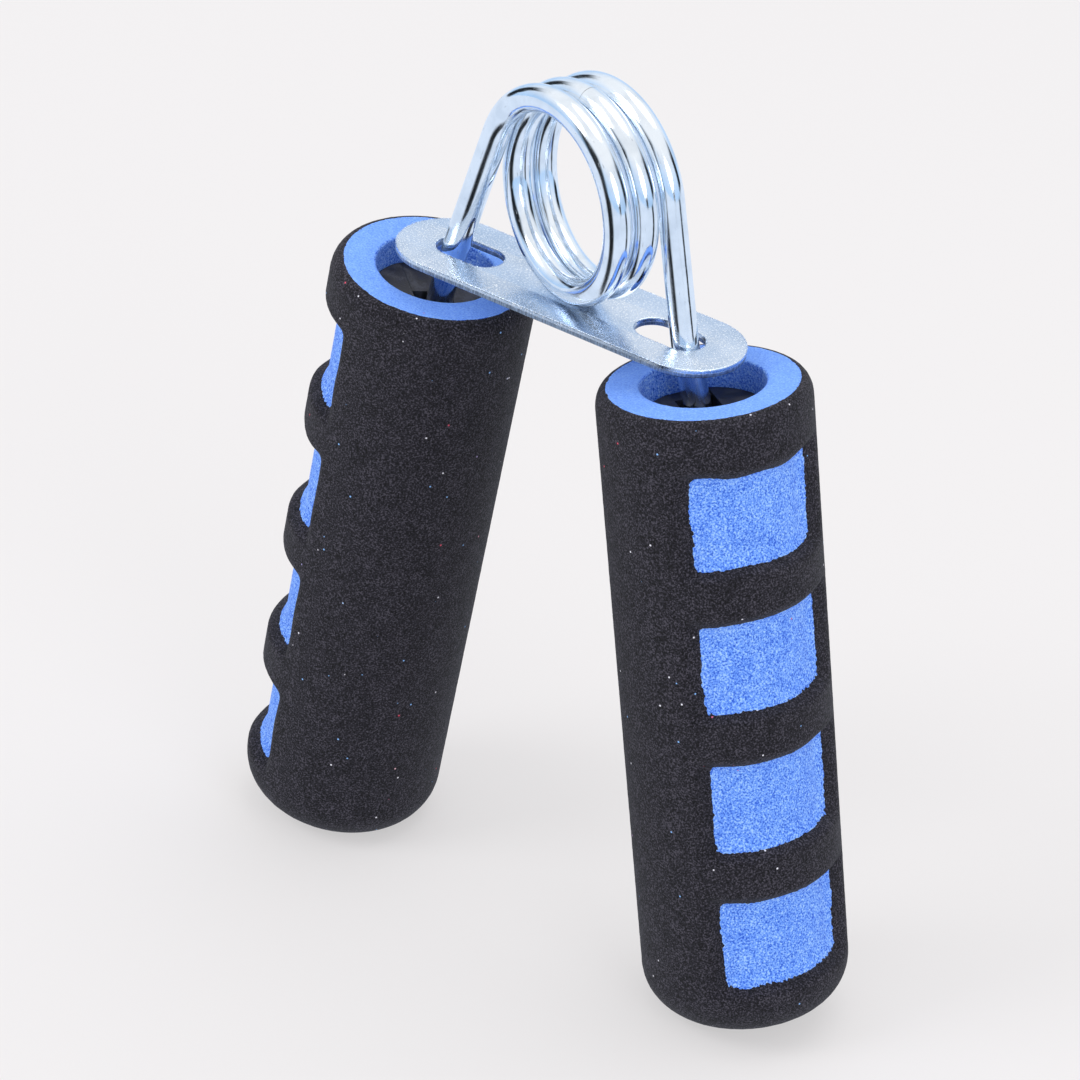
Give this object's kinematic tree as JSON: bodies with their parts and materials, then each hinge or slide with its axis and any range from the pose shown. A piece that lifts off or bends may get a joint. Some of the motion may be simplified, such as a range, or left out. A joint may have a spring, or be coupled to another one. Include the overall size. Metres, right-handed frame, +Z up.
{
  "type": "hand grip strengthener",
  "caption": "Hand grip strengthener: foam-sleeved handles with finger scoops, sprung apart by a coiled wire spring on a slotted bridge plate.",
  "frame": {"origin": "on the floor at the centre of the bounding box's base, under the middle of the bridge plate", "axes": "+X from the left handle to the right handle along the bridge plate, +Y towards the rear, +Z up from the handle ends to the coil"},
  "size_m": [0.1226, 0.0382, 0.1533],
  "materials": {
    "spring_steel": "bright zinc-plated wire with fine drawing scratches",
    "zinc_plate": "bright zinc-plated sheet, slightly grainy, with a sheared edge",
    "core_plastic": "matt black moulded plastic",
    "foam_black": "fine closed-cell foam, matt, faintly mottled",
    "foam_blue": "fine closed-cell foam, matt, ground surface in the finger scoops"
  },
  "bodies": {
    "root": {"bridge_plate": "zinc_plate", "spring_coil": "spring_steel"},
    "left_handle": {"left_spring_leg": "spring_steel", "left_core_front": "core_plastic", "left_core_rear": "core_plastic", "left_foam_liner": "foam_blue", "left_foam_cover": "foam_black"},
    "right_handle": {"right_spring_leg": "spring_steel", "right_core_front": "core_plastic", "right_core_rear": "core_plastic", "right_foam_liner": "foam_blue", "right_foam_cover": "foam_black"}
  },
  "joints": [
    {"name": "right_squeeze", "type": "hinge", "parent": "root", "child": "right_handle", "pos_m": [0.0015, -0.00053, 0.1353], "axis": [0, 1, 0], "range_deg": [0, 11], "stiffness_Nm_per_rad": 31},
    {"name": "left_squeeze", "type": "hinge", "parent": "root", "child": "left_handle", "pos_m": [0.0015, -0.00053, 0.1353], "axis": [0, -1, 0], "range_deg": [0, 11], "stiffness_Nm_per_rad": 31}
  ],
  "couplings": [
    {"joint": "left_squeeze", "follows": "right_squeeze", "ratio": 1}
  ]
}
